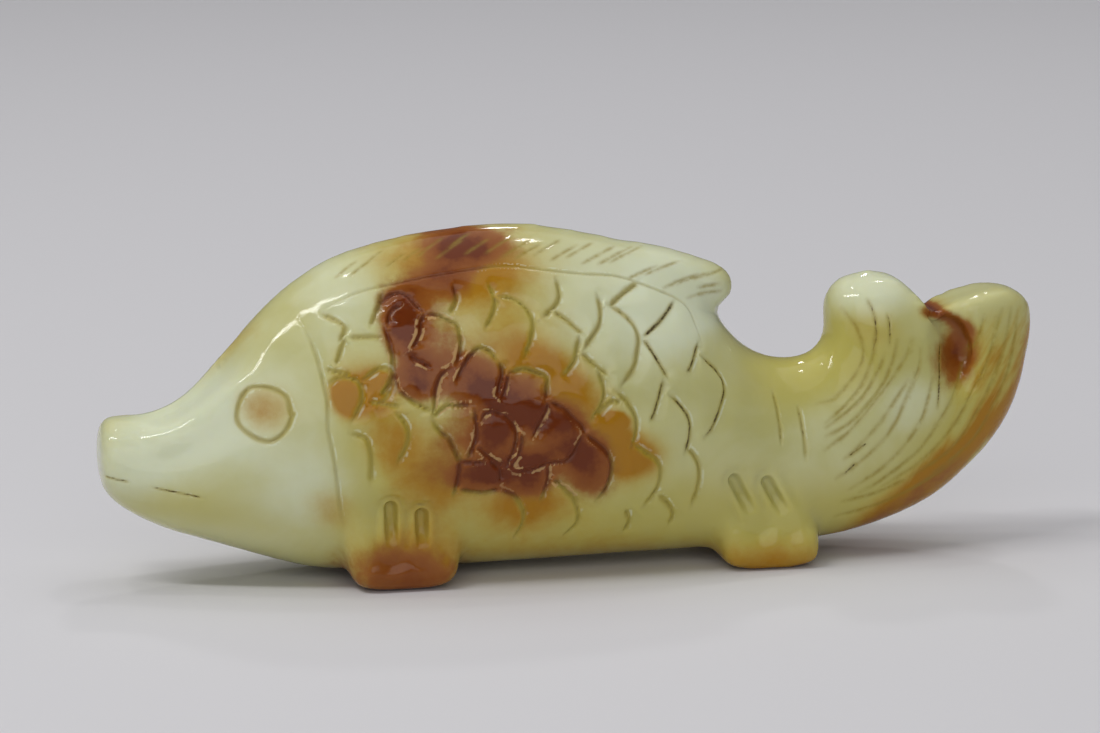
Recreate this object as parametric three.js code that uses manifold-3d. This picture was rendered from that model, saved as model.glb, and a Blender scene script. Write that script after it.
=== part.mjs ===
// A carved jade fish, cut from one pebble of stone and polished all over.
// Millimetres. The snout points to -X, the tail to +X and the back to +Z. The table is Z = 0,
// and the origin lies on it under the middle of the fish. Both flanks are carved alike.

import * as THREE from 'three';
import { mergeVertices } from 'three/addons/utils/BufferGeometryUtils.js';
import Module from 'manifold-3d';

// ---------------------------------------------------------------- driving dimensions

const HEAD_LENGTH = 24.5;        // snout face to gill cut
const TRUNK_LENGTH = 42.5;       // gill cut to tail root
const TAIL_LENGTH = 27;          // tail root to the tip of the swept lobe
const BACK_HEIGHT = 34.2;        // table to the dorsal ridge
const BODY_WIDTH = 22;           // thickness of the trunk
const BELLY_GAP = 0.5;           // clearance under the belly

const SNOUT_HEIGHT = 8;          // lower lip to upper lip
const SNOUT_WIDTH = 8.4;
const SNOUT_RISE = 8.6;          // table to the lower lip

const SADDLE_HEIGHT = 19.6;      // table to the low point between the back fin and the tail
const LOBE_HEIGHT = 28.2;        // table to the top of the upright tail lobe
const ROOT_WIDTH = 15.2;         // thickness at the tail root
const NOTCH_DEPTH = 4.6;         // how far the cut between the lobes drops below the upright lobe
const NOTCH_CLIMB = 2.8;         // how far the swept lobe's upper edge climbs out of it again
const LOBE_LENGTH = 9.6;         // the upright lobe, front to back
const LOBE_WIDTH = 9.6;          // and across the fish
const HOLLOW_RADII = [2.8, 2.6, 7];  // the ball, drawn out upright, that hollows each tail face
const HOLLOW_REACH = 5.6;        // from the middle of the fish to the middle of that ball
const HOLLOW_TILT = 0.22;        // how far, in radians, the ball's lower end leans to the head

const FIN_TIP_LENGTH = 14;       // the back fin's rear tip, from inside the back to its end
const FIN_TIP_HEIGHT = 4.6;
const FIN_TIP_WIDTH = 8.4;

const FOOT_PROUD = 1.5;          // how far a foot stands out of the flank
const FRONT_FOOT_LENGTH = 10.8;
const REAR_FOOT_LENGTH = 10.4;
const FOOT_HEIGHT = 10.5;
const FOOT_WIDTH = 5.2;          // outer face to inner side, across the fish
const FOOT_CORNER = 2.6;         // rounding of the foot's lower corners
const FOOT_EDGE = 1;             // rounding of the foot's outer face
const FOOT_DRAFT = 0.1;          // how far the outer face leans in for each millimetre of height
const SLOT_WIDTH = 1.8;          // the two cuts that part a foot into three rays
const SLOT_LENGTH = 6.2;
const SLOT_DEPTH = 0.9;
const SLOT_PITCH = 3;            // from one cut to the next
const SLOT_TILT = 0.18;          // how far, in radians, a cut's lower end runs out of the foot

const EYE_RADIUS = 2.3;
const EYE_CUT_WIDTH = 0.5;
const EYE_CUT_DEPTH = 0.5;
const LINE_WIDTH = 0.7;          // mouth and gill cuts

const WAIST = 0.42;              // the widest place, as a share of the way from belly to back
const BELLY_FULLNESS = 0.86;     // below 1 the belly is fuller than an ellipse

const BODY_RINGS = 54;
const BODY_SIDES = 32;
const LOBE_RINGS = 14;
const LOBE_SIDES = 20;
const SEARCH_STEPS = 24;
const CLEAR = 4;                 // how far a cut's outline reaches past the stone

const NEAR_SIDE = -1;
const FAR_SIDE = 1;
const SIDES = [NEAR_SIDE, FAR_SIDE];

// ---------------------------------------------------------------- places worked out from them

const overallLength = HEAD_LENGTH + TRUNK_LENGTH + TAIL_LENGTH;
const snoutX = -overallLength / 2;
const gillX = snoutX + HEAD_LENGTH;
const rootX = gillX + TRUNK_LENGTH;
const snoutTop = SNOUT_RISE + SNOUT_HEIGHT;
const snoutMiddle = SNOUT_RISE + SNOUT_HEIGHT / 2;

const mix = THREE.MathUtils.lerp;

// ---------------------------------------------------------------- the body's outline

// A station is one ring round the fish: its point on the back line, its point on the belly
// line, half its thickness, and how full it is (below 1 is boxy, above 1 comes to a ridge).
const station = (back, belly, half, ridge) => ({
  back: new THREE.Vector2(...back),
  belly: new THREE.Vector2(...belly),
  section: new THREE.Vector2(half, ridge),
});

// Along the head: shares of the rise to the back, the drop to the belly and the spread in width.
function headStation(along, rise, drop, spread, ridge) {
  const x = snoutX + along * HEAD_LENGTH;
  const back = mix(snoutTop, BACK_HEIGHT, rise);
  const belly = mix(SNOUT_RISE, BELLY_GAP, drop);
  return station([x, back], [x, belly], mix(SNOUT_WIDTH, BODY_WIDTH, spread) / 2, ridge);
}

// Along the trunk: shares of the height and width that the trunk has over the tail root.
function trunkStation(along, rise, lift, spread, ridge) {
  const x = gillX + along * TRUNK_LENGTH;
  const back = mix(SADDLE_HEIGHT, BACK_HEIGHT, rise);
  return station([x, back], [x, BELLY_GAP + lift], mix(ROOT_WIDTH, BODY_WIDTH, spread) / 2, ridge);
}

// Along the tail: the ring's upper point climbs the upright lobe while its lower point runs
// round the outer edge to the tip of the swept lobe.
function tailStation(upper, lower, thickness, ridge) {
  const back = [rootX + upper[0] * TAIL_LENGTH, mix(SADDLE_HEIGHT, LOBE_HEIGHT, upper[1])];
  const belly = [rootX + lower[0] * TAIL_LENGTH, mix(BELLY_GAP, LOBE_HEIGHT, lower[1])];
  return station(back, belly, thickness * ROOT_WIDTH / 2, ridge);
}

const stations = [
  station([snoutX, snoutMiddle], [snoutX, snoutMiddle], 0, 0.9),
  station([snoutX + 0.1, snoutTop - 1.2], [snoutX + 0.1, SNOUT_RISE + 1.8], SNOUT_WIDTH * 0.4, 0.9),
  headStation(0.04, 0, 0, 0, 0.9),
  headStation(0.15, 0, 0.24, 0.06, 0.9),
  headStation(0.27, 0.04, 0.41, 0.17, 0.92),
  headStation(0.37, 0.13, 0.51, 0.29, 0.95),
  headStation(0.47, 0.28, 0.61, 0.41, 0.98),
  headStation(0.57, 0.43, 0.71, 0.52, 1),
  headStation(0.67, 0.58, 0.81, 0.62, 1.02),
  headStation(0.77, 0.7, 0.9, 0.71, 1.05),
  headStation(0.88, 0.8, 0.97, 0.8, 1.08),
  headStation(1, 0.875, 1, 0.87, 1.1),
  trunkStation(0.125, 0.94, 0, 0.92, 1.15),
  trunkStation(0.27, 0.995, 0.05, 1, 1.2),
  trunkStation(0.41, 1, 0.15, 1, 1.2),
  trunkStation(0.55, 0.93, 0.3, 0.94, 1.18),
  trunkStation(0.67, 0.84, 0.4, 0.8, 1.15),
  trunkStation(0.765, 0.69, 0.45, 0.65, 1.1),
  trunkStation(0.835, 0.46, 0.5, 0.48, 1.02),
  trunkStation(0.89, 0.25, 0.5, 0.34, 0.95),
  trunkStation(0.94, 0.1, 0.55, 0.18, 0.9),
  trunkStation(1, 0.02, 0.65, 0, 0.85),
  tailStation([0.08, 0], [0.185, 0.033], 0.92, 0.85),
  tailStation([0.16, 0.05], [0.35, 0.062], 0.85, 0.85),
  tailStation([0.21, 0.22], [0.5, 0.108], 0.79, 0.85),
  tailStation([0.215, 0.45], [0.63, 0.166], 0.74, 0.85),
  tailStation([0.21, 0.66], [0.74, 0.25], 0.7, 0.85),
  tailStation([0.24, 0.87], [0.855, 0.36], 0.66, 0.85),
  tailStation([0.31, 0.975], [0.94, 0.5], 0.62, 0.85),
  tailStation([0.4, 1], [0.98, 0.65], 0.57, 0.85),
  tailStation([0.5, 0.97], [1, 0.78], 0.5, 0.85),
  tailStation([0.63, 0.94], [0.975, 0.895], 0.42, 0.85),
  tailStation([0.82, 0.95], [0.82, 0.95], 0, 0.85),
];

// The three smooth lines that a run of stations gives.
const lines = (run) => ({
  back: new THREE.SplineCurve(run.map((s) => s.back)),
  belly: new THREE.SplineCurve(run.map((s) => s.belly)),
  section: new THREE.SplineCurve(run.map((s) => s.section)),
});

// The point of the ring at `share` of the way along the lines, `angle` round from the flank.
function skinPoint(rails, share, angle) {
  const back = rails.back.getPoint(share);
  const belly = rails.belly.getPoint(share);
  const section = rails.section.getPoint(share);
  const up = Math.sin(angle);
  const out = Math.cos(angle);
  const fullness = up > 0 ? section.y : BELLY_FULLNESS;
  const height = up > 0 ? mix(WAIST, 1, up) : mix(WAIST, 0, -up);
  const middle = belly.clone().lerp(back, height);
  const half = Math.max(section.x, 0) * Math.sign(out) * Math.abs(out) ** fullness;
  return new THREE.Vector3(middle.x, half, middle.y);
}

const bodyLines = lines(stations);

// The point on one flank at a given length and height; it serves the head and the trunk,
// where the rings stand upright.
function flankPoint(x, z, side) {
  let low = 0;
  let high = 0.66;
  for (let step = 0; step < SEARCH_STEPS; step += 1) {
    const middle = (low + high) / 2;
    if (bodyLines.back.getPoint(middle).x < x) {
      low = middle;
    } else {
      high = middle;
    }
  }
  const back = bodyLines.back.getPoint(low).y;
  const belly = bodyLines.belly.getPoint(low).y;
  const height = THREE.MathUtils.clamp((z - belly) / (back - belly), 0, 1);
  const climb = height > WAIST ? (height - WAIST) / (1 - WAIST) : (height - WAIST) / WAIST;
  const point = skinPoint(bodyLines, low, Math.asin(climb));
  return new THREE.Vector3(x, side * point.y, z);
}

// The flank's outward direction there.
function flankNormal(x, z, side) {
  const reach = 0.4;
  const ahead = flankPoint(x + reach, z, side).sub(flankPoint(x - reach, z, side));
  const above = flankPoint(x, z + reach, side).sub(flankPoint(x, z - reach, side));
  return above.cross(ahead).multiplyScalar(-side).normalize();
}

// ---------------------------------------------------------------- solids

const wasm = await Module();
wasm.setup();

// A closed three.js geometry as a solid that can be joined and cut.
function solid(geometry) {
  const bare = geometry.clone();
  bare.deleteAttribute('normal');
  bare.deleteAttribute('uv');
  const merged = mergeVertices(bare, 1e-4);
  return new wasm.Manifold(new wasm.Mesh({
    numProp: 3,
    vertProperties: new Float32Array(merged.attributes.position.array),
    triVerts: new Uint32Array(merged.index.array),
  }));
}

function geometryOf(body) {
  const mesh = body.getMesh();
  const geometry = new THREE.BufferGeometry();
  geometry.setAttribute('position', new THREE.BufferAttribute(mesh.vertProperties, 3));
  geometry.setIndex(new THREE.BufferAttribute(mesh.triVerts, 1));
  geometry.computeVertexNormals();
  return geometry;
}

// A plate of a side-view outline, standing across the fish from one Y to another.
function plate(outline, nearY, farY, edge = 0) {
  const depth = farY - nearY;
  const geometry = new THREE.ExtrudeGeometry(outline, {
    depth: depth - 2 * edge,
    bevelEnabled: edge > 0,
    bevelThickness: edge,
    bevelSize: edge,
    bevelOffset: -edge,
    bevelSegments: 2,
    curveSegments: 4,
  });
  geometry.rotateX(Math.PI / 2);
  geometry.translate(0, farY - edge, 0);
  return geometry;
}

// A round cut that follows a line on one flank.
function lineCut(points, side) {
  const path = new THREE.CatmullRomCurve3(points.map(([x, z]) => flankPoint(x, z, side)));
  const section = new THREE.Shape();
  section.absarc(0, 0, LINE_WIDTH / 2, 0, 2 * Math.PI);
  const geometry = new THREE.ExtrudeGeometry(section, {
    steps: 3 * points.length,
    curveSegments: 3,
    extrudePath: path,
  });
  return solid(geometry);
}

// A sphere whose rings are drawn out along a run of stations.
function drawnOut(run, rings, sides) {
  const rails = lines(run);
  const geometry = new THREE.SphereGeometry(1, sides, rings);
  geometry.rotateZ(Math.PI / 2);
  const position = geometry.attributes.position;
  for (let i = 0; i < position.count; i += 1) {
    const polar = Math.acos(THREE.MathUtils.clamp(-position.getX(i), -1, 1));
    const ring = Math.round(polar / Math.PI * rings);
    const angle = Math.atan2(position.getZ(i), position.getY(i));
    const point = skinPoint(rails, ring / rings, angle);
    position.setXYZ(i, point.x, point.y, point.z);
  }
  return solid(geometry);
}

// ---------------------------------------------------------------- back fin's rear tip

// It grows out of the ridge, leans over the saddle and thins towards its end.
function finTipSolid() {
  const endX = rootX - 0.09 * TRUNK_LENGTH;
  const startX = endX - FIN_TIP_LENGTH;
  const ridgeZ = mix(SADDLE_HEIGHT, BACK_HEIGHT, 0.86);
  const endZ = mix(SADDLE_HEIGHT, BACK_HEIGHT, 0.56);
  const ring = (along, top, height, width) => {
    const x = mix(startX, endX, along);
    const z = mix(endZ, ridgeZ, top);
    return station([x, z], [x, z - height * FIN_TIP_HEIGHT], width * FIN_TIP_WIDTH / 2, 1);
  };
  return drawnOut([
    ring(0, 0.4, 0, 0),
    ring(0.15, 0.97, 1.4, 0.95),
    ring(0.45, 0.86, 1.5, 1),
    ring(0.7, 0.62, 1.35, 0.85),
    ring(0.87, 0.41, 0.9, 0.65),
    ring(0.97, 0.2, 0.55, 0.45),
    ring(1, -0.1, 0, 0),
  ], LOBE_RINGS, LOBE_SIDES);
}

// ---------------------------------------------------------------- tail lobes

const lobeX = rootX + 0.4 * TAIL_LENGTH;

// The upright lobe leans towards the head and rounds over at its top.
function uprightLobeSolid() {
  const ring = (lean, height, length, width) => {
    const x = lobeX + lean * LOBE_LENGTH;
    const z = mix(BELLY_GAP, LOBE_HEIGHT, height);
    const half = length * LOBE_LENGTH / 2;
    return station([x - half, z], [x + half, z - 0.25 * half], width * LOBE_WIDTH / 2, 0.9);
  };
  return drawnOut([
    ring(-0.1, 0.3, 0, 0),
    ring(-0.08, 0.42, 1.05, 1.1),
    ring(0, 0.6, 1.1, 1.1),
    ring(0, 0.76, 1.02, 1.05),
    ring(-0.05, 0.87, 1, 0.97),
    ring(-0.06, 0.955, 0.72, 0.72),
    ring(-0.08, 1, 0, 0),
  ], LOBE_RINGS, LOBE_SIDES);
}

// The open V between the upright lobe and the swept lobe, whose upper edge climbs out of the V
// and bends down again at the tip. Its points are shares of the tail's length and of that climb.
function notchCut() {
  const along = (share) => rootX + share * TAIL_LENGTH;
  const up = (share) => LOBE_HEIGHT - NOTCH_DEPTH + share * NOTCH_CLIMB;
  const outline = new THREE.Shape();
  outline.moveTo(along(0.59), up(0));
  outline.quadraticCurveTo(along(0.66), up(0.7), along(0.88), up(1));
  outline.quadraticCurveTo(along(0.97), up(0.93), along(1), up(0.35));
  outline.lineTo(along(1) + CLEAR, LOBE_HEIGHT + CLEAR);
  outline.lineTo(lobeX, LOBE_HEIGHT + CLEAR);
  outline.lineTo(lobeX, LOBE_HEIGHT);
  outline.quadraticCurveTo(along(0.52), LOBE_HEIGHT - 0.1 * NOTCH_DEPTH, along(0.59), up(0));
  return solid(plate(outline, -BODY_WIDTH, BODY_WIDTH));
}

// The hollow that runs down each face of the tail from the notch.
function hollowCut(side) {
  const geometry = new THREE.SphereGeometry(1, LOBE_SIDES, LOBE_RINGS);
  geometry.scale(...HOLLOW_RADII);
  geometry.rotateY(-HOLLOW_TILT);
  geometry.translate(
    rootX + 0.66 * TAIL_LENGTH,
    side * HOLLOW_REACH,
    LOBE_HEIGHT - NOTCH_DEPTH - 0.25 * HOLLOW_RADII[2],
  );
  return solid(geometry);
}

// ---------------------------------------------------------------- feet

// The two fin feet of one side: where each stands, its length, how far its front and rear edges
// lean towards the head at the top, and the lean of its two cuts.
const FEET = [
  { x: gillX + 0.096 * TRUNK_LENGTH, length: FRONT_FOOT_LENGTH, front: 1, rear: 0, cuts: 0 },
  { x: rootX - 0.035 * TRUNK_LENGTH, length: REAR_FOOT_LENGTH, front: 0.8, rear: 3.4, cuts: 0.5 },
];

const footFace = (foot, side) => flankPoint(foot.x, FOOT_HEIGHT / 2, side).y + side * FOOT_PROUD;

function footSolid(foot, side) {
  const frontX = foot.x - foot.length / 2;
  const rearX = foot.x + foot.length / 2;
  const outline = new THREE.Shape();
  outline.moveTo(frontX - foot.front, FOOT_HEIGHT);
  outline.lineTo(frontX, FOOT_CORNER);
  outline.quadraticCurveTo(frontX, 0, frontX + FOOT_CORNER, 0);
  outline.lineTo(rearX - FOOT_CORNER, 0);
  outline.quadraticCurveTo(rearX, 0, rearX, FOOT_CORNER);
  outline.lineTo(rearX - foot.rear, FOOT_HEIGHT);
  outline.closePath();
  const face = footFace(foot, side);
  const inner = face - side * FOOT_WIDTH;
  const geometry = plate(outline, Math.min(face, inner), Math.max(face, inner), FOOT_EDGE);
  const position = geometry.attributes.position;
  for (let i = 0; i < position.count; i += 1) {
    position.setY(i, position.getY(i) - side * FOOT_DRAFT * position.getZ(i));
  }
  return solid(geometry);
}

// One of a foot's two cuts: a rod laid in its outer face, leaning out at the lower end.
function slotCut(foot, offset, side) {
  const radius = SLOT_WIDTH / 2;
  const height = 0.6 * FOOT_HEIGHT;
  const geometry = new THREE.CapsuleGeometry(radius, SLOT_LENGTH - SLOT_WIDTH, 3, 12);
  geometry.rotateX(Math.PI / 2);
  geometry.rotateX(side * SLOT_TILT);
  geometry.rotateY(-foot.cuts);
  geometry.translate(
    foot.x + offset - foot.rear / 4,
    footFace(foot, side) + side * (radius - SLOT_DEPTH - FOOT_DRAFT * height),
    height,
  );
  return solid(geometry);
}

// ---------------------------------------------------------------- face

const eyeX = snoutX + 0.62 * HEAD_LENGTH;
const eyeZ = mix(SNOUT_RISE, BACK_HEIGHT, 0.36);

// The ring that a tube drill leaves round the eye.
function eyeCut(side) {
  const inner = EYE_RADIUS;
  const outer = EYE_RADIUS + EYE_CUT_WIDTH;
  const geometry = new THREE.LatheGeometry([
    new THREE.Vector2(inner, -EYE_CUT_DEPTH),
    new THREE.Vector2(outer, -EYE_CUT_DEPTH),
    new THREE.Vector2(outer, 1),
    new THREE.Vector2(inner, 1),
    new THREE.Vector2(inner, -EYE_CUT_DEPTH),
  ], 28);
  const normal = flankNormal(eyeX, eyeZ, side);
  const turn = new THREE.Quaternion().setFromUnitVectors(new THREE.Vector3(0, 1, 0), normal);
  const place = flankPoint(eyeX, eyeZ, side);
  geometry.applyMatrix4(new THREE.Matrix4().compose(place, turn, new THREE.Vector3(1, 1, 1)));
  return solid(geometry);
}

function mouthCut(side) {
  return lineCut([
    [snoutX + 0.06 * HEAD_LENGTH, SNOUT_RISE + 0.4 * SNOUT_HEIGHT],
    [snoutX + 0.22 * HEAD_LENGTH, SNOUT_RISE + 0.29 * SNOUT_HEIGHT],
    [snoutX + 0.4 * HEAD_LENGTH, SNOUT_RISE + 0.15 * SNOUT_HEIGHT],
  ], side);
}

function gillCut(side) {
  return lineCut([
    [gillX - 0.23 * HEAD_LENGTH, 0.775 * BACK_HEIGHT],
    [gillX - 0.17 * HEAD_LENGTH, 0.645 * BACK_HEIGHT],
    [gillX - 0.14 * HEAD_LENGTH, 0.48 * BACK_HEIGHT],
    [gillX - 0.1 * HEAD_LENGTH, 0.29 * BACK_HEIGHT],
  ], side);
}

// ---------------------------------------------------------------- the fish

function fishSolid() {
  let fish = drawnOut(stations, BODY_RINGS, BODY_SIDES).add(uprightLobeSolid()).add(finTipSolid());
  for (const side of SIDES) {
    for (const foot of FEET) {
      fish = fish.add(footSolid(foot, side));
    }
  }
  fish = fish.subtract(notchCut());
  for (const side of SIDES) {
    for (const foot of FEET) {
      fish = fish.subtract(slotCut(foot, -SLOT_PITCH / 2, side));
      fish = fish.subtract(slotCut(foot, SLOT_PITCH / 2, side));
    }
    fish = fish.subtract(hollowCut(side));
    fish = fish.subtract(eyeCut(side));
    fish = fish.subtract(mouthCut(side));
    fish = fish.subtract(gillCut(side));
  }
  return fish;
}

const jade = new THREE.MeshStandardMaterial({ color: 0xc6cba0, roughness: 0.22, metalness: 0 });
const fish = new THREE.Mesh(geometryOf(fishSolid()), jade);
fish.name = 'jade_fish';

const figurine = new THREE.Group();
figurine.add(fish);

export default figurine;
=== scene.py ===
# %% [markdown]
# # A carved jade fish, cell by cell
# The fish is one pebble of pale green jade with a rusty skin, cut into a fish, incised with
# small wheels and polished by hand. Nothing is joined to it, so the whole lesson is about one
# mesh: rough it out, smooth it, cut the lines into it, then give it the colour of the stone.
# The planned solid comes in from model.glb and is never touched.

# %% Load the planned solid
import math
import random

import bmesh
import bpy
import numpy as np
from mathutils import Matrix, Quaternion, Vector, noise
from mathutils.bvhtree import BVHTree
from mathutils.kdtree import KDTree


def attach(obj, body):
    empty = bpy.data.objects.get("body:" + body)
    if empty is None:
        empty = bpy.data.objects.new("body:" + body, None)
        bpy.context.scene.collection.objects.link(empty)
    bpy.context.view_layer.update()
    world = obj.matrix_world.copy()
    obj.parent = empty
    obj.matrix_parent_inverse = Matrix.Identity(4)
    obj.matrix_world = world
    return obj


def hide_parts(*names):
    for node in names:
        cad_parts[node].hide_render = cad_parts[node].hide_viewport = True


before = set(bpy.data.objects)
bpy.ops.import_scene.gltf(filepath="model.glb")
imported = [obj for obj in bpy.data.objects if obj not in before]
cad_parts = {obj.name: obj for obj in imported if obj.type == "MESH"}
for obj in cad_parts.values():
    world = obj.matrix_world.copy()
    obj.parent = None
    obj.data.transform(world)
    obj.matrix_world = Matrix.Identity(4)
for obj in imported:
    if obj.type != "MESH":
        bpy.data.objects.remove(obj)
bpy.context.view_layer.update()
MM = 0.001

# %% [markdown]
# ## The blank
# A carver starts from a blank that already has the outline. Ours is a copy of the planned solid,
# whose faces are long flat slivers that can't be cut finely. One could subdivide the slivers, but
# they would stay slivers. A voxel remesh lays an even net of small squares over the shape instead,
# so every later cut meets the same kind of mesh. Loose corners are merged first, because the
# remesh needs a closed skin.

# %% Copy and close the solid
NET = 0.74 * MM


def closed_copy(node, name):
    stone = bmesh.new()
    stone.from_mesh(node.data)
    bmesh.ops.remove_doubles(stone, verts=stone.verts, dist=0.001 * MM)
    mesh = bpy.data.meshes.new(name)
    stone.to_mesh(mesh)
    stone.free()
    piece = bpy.data.objects.new(name, mesh)
    bpy.context.scene.collection.objects.link(piece)
    return piece


fish = closed_copy(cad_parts["jade_fish"], "carved_fish")
print("closed copy:", len(fish.data.vertices), "corners")

# %% Lay an even net over it
net = fish.modifiers.new("even net", "REMESH")
net.mode = "VOXEL"
net.voxel_size = NET
bpy.context.view_layer.update()
even_mesh = bpy.data.meshes.new_from_object(fish.evaluated_get(bpy.context.evaluated_depsgraph_get()))
fish.modifiers.remove(net)
fish.data = even_mesh
print("even net:", len(even_mesh.polygons), "squares")

# %% [markdown]
# ## Smoothing the blank
# On the stone this is the coarse polish that takes the flats away. Plain smoothing shrinks a
# shape and would melt the feet and the fin tip. So each pass that pulls a corner to the middle of
# its neighbours is followed by one that pushes it back a little further. Small ripples die in that
# exchange and anything broader than about 4 mm stays. The notch in the tail and the corner under
# the back fin's tip get fewer rounds, because a thin tool left them crisp.

# %% Polish away the flats
POLISH_ROUNDS = 34
CRISP_ROUNDS = 7
SOFT_ROUNDS = 3
PULL, PUSH = 0.5, -0.52
CRISP_SPOTS = [((36.0, 24.5), 2.4), ((12.6, 24.0), 1.6)]

stone = bmesh.new()
stone.from_mesh(fish.data)


def smooth_all(verts, share):
    bmesh.ops.smooth_vert(
        stone, verts=verts, factor=share, use_axis_x=True, use_axis_y=True, use_axis_z=True
    )


def is_crisp(v):
    x, z = v.co.x / MM, v.co.z / MM
    return any(math.hypot(x - spot_x, z - spot_z) < reach for (spot_x, spot_z), reach in CRISP_SPOTS)


crisp = {v for v in stone.verts if is_crisp(v)}
for k in range(POLISH_ROUNDS):
    polished = stone.verts if k < CRISP_ROUNDS else [v for v in stone.verts if v not in crisp]
    smooth_all(polished, PULL)
    smooth_all(polished, PUSH)
soft = [v for v in stone.verts if v not in crisp]
for _ in range(SOFT_ROUNDS):
    smooth_all(soft, PULL)
lowest = min(v.co.z for v in stone.verts)
bmesh.ops.translate(stone, verts=stone.verts, vec=(0, 0, -lowest))
print("lowest corner was at", round(lowest / MM, 3), "mm and now stands on the table")

# %% [markdown]
# ## The hollow between the tail lobes
# On each face of the tail a hollow runs down from the notch. The swept lobe stands over it like
# the edge of a shell, so its upper and rear rim is one steep curved step. On its front side the
# upright lobe slopes down into it, and below it runs out to nothing. A sculptor would press it in
# with a thumb. Here the rim is drawn as a curve, and every corner on its inner side is pushed in,
# most of all right behind the step.

# %% A smooth curve through a few points
CURVE_STEP = 0.12


def smooth_curve(points):
    pts = [Vector(p) for p in points]
    if len(pts) == 2:
        pts.insert(1, (pts[0] + pts[1]) / 2)
    ends = [2 * pts[0] - pts[1]] + pts + [2 * pts[-1] - pts[-2]]
    curve = []
    for a, b, c, d in zip(ends, ends[1:], ends[2:], ends[3:]):
        count = max(2, int((c - b).length / CURVE_STEP))
        for i in range(count):
            t = i / count
            curve.append(
                0.5 * (2 * b + (c - a) * t + (2 * a - 5 * b + 4 * c - d) * t * t
                       + (3 * b - a - 3 * c + d) * t * t * t)
            )
    curve.append(pts[-1])
    return curve


print("a stroke of three points becomes", len(smooth_curve([(0, 0), (2, 1), (3, 3)])), "points")

# %% Press in the hollow
HOLLOW_RIM = smooth_curve([
    (34.9, 24.8), (36, 24.4), (37.3, 24.3), (38.6, 23.6),
    (39.5, 22.2), (40, 20.3), (39.6, 18.6), (38.6, 17),
])
LOBE_SLOPE = smooth_curve([(33.6, 26.4), (35, 24.6), (36.3, 22.8), (36.9, 21), (36.8, 19)])
HOLLOW_X, HOLLOW_Z = (33, 42), (13, 27)
HOLLOW_DEPTH, STEP_WIDTH = 1.1, 0.55
DEEP_UNTIL, HOLLOW_REACH = 0.8, 4.2
SLOPE_FROM, SLOPE_TO = -0.4, 0.8
RIM_FADES = 0.75
FLANK_FACING = 0.2


def smooth_step(low, high, value):
    t = max(0.0, min(1.0, (value - low) / (high - low)))
    return t * t * (3 - 2 * t)


def side_on(v):
    return Vector((v.co.x / MM, v.co.z / MM))


def beside(curve, point):
    k = min(range(len(curve)), key=lambda i: (curve[i] - point).length_squared)
    ahead = curve[min(k + 1, len(curve) - 1)] - curve[max(k - 1, 0)]
    away = point - curve[k]
    side = 1 if ahead.x * away.y - ahead.y * away.x > 0 else -1
    return side * away.length, k / (len(curve) - 1)


def in_hollow(v):
    in_length = HOLLOW_X[0] < v.co.x / MM < HOLLOW_X[1]
    in_height = HOLLOW_Z[0] < v.co.z / MM < HOLLOW_Z[1]
    return in_length and in_height and abs(v.co.y) > 1 * MM


def divide(faces):
    edges = list({e for f in faces for e in f.edges})
    bmesh.ops.subdivide_edges(stone, edges=edges, cuts=1, use_grid_fill=True)
    stone.normal_update()


divide([f for f in stone.faces if all(in_hollow(v) for v in f.verts)])
pressed = 0
for v in stone.verts:
    if in_hollow(v) and abs(v.normal.y) > FLANK_FACING:
        here = side_on(v)
        rim, along = beside(HOLLOW_RIM, here)
        slope, _ = beside(LOBE_SLOPE, here)
        step = smooth_step(0, STEP_WIDTH, -rim) * (1 - smooth_step(DEEP_UNTIL, HOLLOW_REACH, -rim))
        past_slope = smooth_step(SLOPE_FROM, SLOPE_TO, slope)
        runs_out = 1 - smooth_step(RIM_FADES, 1, along)
        v.co -= v.normal * HOLLOW_DEPTH * MM * step * past_slope * runs_out
        pressed += 1
print("hollow pressed into", pressed, "corners")

# %% [markdown]
# ## The brow
# The top of the head and the cheek meet in a soft edge that runs from the snout up to the nape.
# It is what catches the long highlight on the real stone. The skin along a drawn line is lifted a
# little and the strip above it is let down, which leaves an edge with a millimetre of rounding.

# %% Raise the brow
BROW = smooth_curve([
    (-43, 14.9), (-41.2, 15.1), (-39.4, 15.7), (-37, 17.3),
    (-35.3, 18.8), (-33.6, 20.3), (-32.2, 21.7), (-31, 23),
])
BROW_LIFT, BROW_HALF = 0.75, 1.1
BROW_DROP, DROP_ABOVE, DROP_HALF = 0.55, 2.4, 1.5
BROW_REACH = 5
BROW_FOOT = 13


def on_upper_head(v, nape_x, clear_y):
    return -44 < v.co.x / MM < nape_x and v.co.z > BROW_FOOT * MM and abs(v.co.y) > clear_y * MM


lifted = 0
for v in stone.verts:
    if on_upper_head(v, nape_x=-25, clear_y=0.5):
        above, along = beside(BROW, side_on(v))
        if abs(above) < BROW_REACH:
            ends = smooth_step(0, 0.1, along) * (1 - smooth_step(0.7, 1, along))
            lift = BROW_LIFT * math.exp(-((above / BROW_HALF) ** 2))
            drop = BROW_DROP * math.exp(-(((above - DROP_ABOVE) / DROP_HALF) ** 2)) if above > 0 else 0
            v.co += v.normal * (lift - drop * min(1, above)) * ends * MM
            lifted += 1
brow_skin = [v for v in stone.verts if on_upper_head(v, nape_x=-26, clear_y=1)]
for _ in range(SOFT_ROUNDS):
    smooth_all(brow_skin, PULL)
stone.normal_update()
print("brow moved", lifted, "corners")

# %% [markdown]
# ## Grooves of the feet
# Two round-nosed grooves part each foot into three rays. They were the widest wheel's work and
# the polish has softened them, so they are cut afresh. The foot's outer face is flat, which helps:
# a plane is laid through the skin around a groove, the old groove is levelled to that plane, and
# the new one is sunk into it. It is deepest at its round upper end and runs out below, where the
# skin of the toes is rubbed smooth again.

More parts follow.
